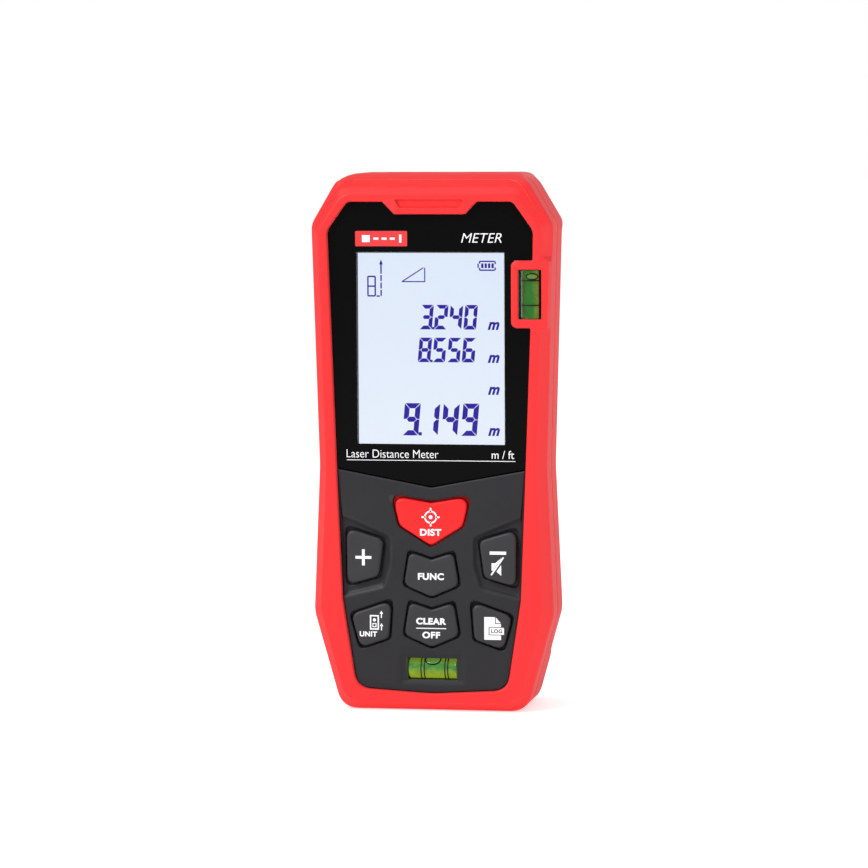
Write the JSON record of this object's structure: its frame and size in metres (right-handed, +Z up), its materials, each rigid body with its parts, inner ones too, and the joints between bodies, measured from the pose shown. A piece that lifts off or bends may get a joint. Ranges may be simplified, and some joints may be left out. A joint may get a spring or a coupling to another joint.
{
  "type": "laser distance meter",
  "caption": "Hand-held laser distance meter in a red rubber jacket, with a large lit display, pressable keys, two spirit levels and a battery cover that swings open.",
  "frame": {"origin": "middle of the flat datum end, the end opposite the laser", "axes": "+Z up the instrument towards the laser end, -Y out of the front that carries the display and keys, +X to the right seen from the front"},
  "size_m": [0.053, 0.027, 0.1164],
  "materials": {
    "red_rubber": "matt moulded thermoplastic rubber, fine satin texture",
    "dark_shell": "dark grey ABS with a fine spark-eroded texture",
    "red_key_rubber": "satin silicone rubber",
    "grey_key_rubber": "satin silicone rubber",
    "black_window": "polished acrylic with a black print behind it",
    "foam_tape": "closed-cell foam",
    "lcd_glass": "glass display sandwich, lit from behind",
    "white_plastic": "white light-guide plastic",
    "amber_film": "polyimide film with copper tracks",
    "silicone": "matt silicone",
    "green_board": "solder-masked glass-epoxy board",
    "black_plastic": "black glass-filled plastic",
    "steel": "zinc-plated steel",
    "nickel": "nickel-plated spring steel",
    "brass": "turned brass",
    "optical_glass": "coated optical glass",
    "cell_jacket": null,
    "clear_acrylic": "clear moulded acrylic",
    "level_liquid": "yellow-green spirit",
    "air_bubble": "air in the spirit"
  },
  "bodies": {
    "housing": {"front_jacket": "red_rubber", "rear_jacket": "red_rubber", "front_case": "dark_shell", "rear_case": "dark_shell", "strap_pin": "steel", "display_window": "black_window", "window_tape": "foam_tape", "lcd_panel": "lcd_glass", "lcd_backlight": "white_plastic", "lcd_frame": "white_plastic", "lcd_ribbon": "amber_film", "keypad_mat": "silicone", "dome_sheet": "steel", "main_board": "green_board", "processor_chip": "black_plastic", "shield_can": "nickel", "buzzer": "black_plastic", "optics_block": "black_plastic", "receiver_lens": "optical_glass", "receiver_board": "green_board", "photodiode": "nickel", "laser_barrel": "brass", "collimator_lens": "optical_glass", "laser_diode": "brass", "receiver_window": "black_window", "emitter_window": "optical_glass", "battery_left": "cell_jacket", "battery_right": "cell_jacket", "bridge_contact": "nickel", "positive_contact": "nickel", "negative_contact": "nickel", "side_vial": "clear_acrylic", "side_vial_plug": "clear_acrylic", "side_vial_liquid": "level_liquid", "cross_vial": "clear_acrylic", "cross_vial_plug": "clear_acrylic", "cross_vial_liquid": "level_liquid", "case_screw_1": "steel", "case_screw_2": "steel", "case_screw_3": "steel", "case_screw_4": "steel", "optics_screw_1": "steel", "optics_screw_2": "steel"},
    "battery_cover": {"battery_door": "dark_shell", "door_pad": "foam_tape"},
    "measure_key": {"measure_key": "red_key_rubber"},
    "plus_key": {"plus_key": "grey_key_rubber"},
    "minus_key": {"minus_key": "grey_key_rubber"},
    "function_key": {"function_key": "grey_key_rubber"},
    "unit_key": {"unit_key": "grey_key_rubber"},
    "log_key": {"log_key": "grey_key_rubber"},
    "clear_key": {"clear_key": "grey_key_rubber"},
    "side_bubble": {"side_bubble": "air_bubble"},
    "cross_bubble": {"cross_bubble": "air_bubble"}
  },
  "joints": [
    {"name": "measure_press", "type": "slide", "parent": "housing", "child": "measure_key", "axis": [0, 1, 0], "range_m": [0, 0.0007], "stiffness_N_per_m": 1500},
    {"name": "plus_press", "type": "slide", "parent": "housing", "child": "plus_key", "axis": [0, 1, 0], "range_m": [0, 0.0007], "stiffness_N_per_m": 1500},
    {"name": "minus_press", "type": "slide", "parent": "housing", "child": "minus_key", "axis": [0, 1, 0], "range_m": [0, 0.0007], "stiffness_N_per_m": 1500},
    {"name": "function_press", "type": "slide", "parent": "housing", "child": "function_key", "axis": [0, 1, 0], "range_m": [0, 0.0007], "stiffness_N_per_m": 1500},
    {"name": "unit_press", "type": "slide", "parent": "housing", "child": "unit_key", "axis": [0, 1, 0], "range_m": [0, 0.0007], "stiffness_N_per_m": 1500},
    {"name": "log_press", "type": "slide", "parent": "housing", "child": "log_key", "axis": [0, 1, 0], "range_m": [0, 0.0007], "stiffness_N_per_m": 1500},
    {"name": "clear_press", "type": "slide", "parent": "housing", "child": "clear_key", "axis": [0, 1, 0], "range_m": [0, 0.0007], "stiffness_N_per_m": 1500},
    {"name": "battery_cover_swing", "type": "hinge", "parent": "housing", "child": "battery_cover", "pos_m": [0, 0.0134, 0.00895], "axis": [-1, 0, 0], "range_deg": [0, 60]},
    {"name": "side_bubble_float", "type": "slide", "parent": "housing", "child": "side_bubble", "axis": [0, 0, 1], "range_m": [-0.0064, 0], "stiffness_N_per_m": 0.5, "springref_m": 0.001},
    {"name": "cross_bubble_float", "type": "slide", "parent": "housing", "child": "cross_bubble", "axis": [1, 0, 0], "range_m": [-0.0021, 0.0021], "stiffness_N_per_m": 0.5}
  ]
}
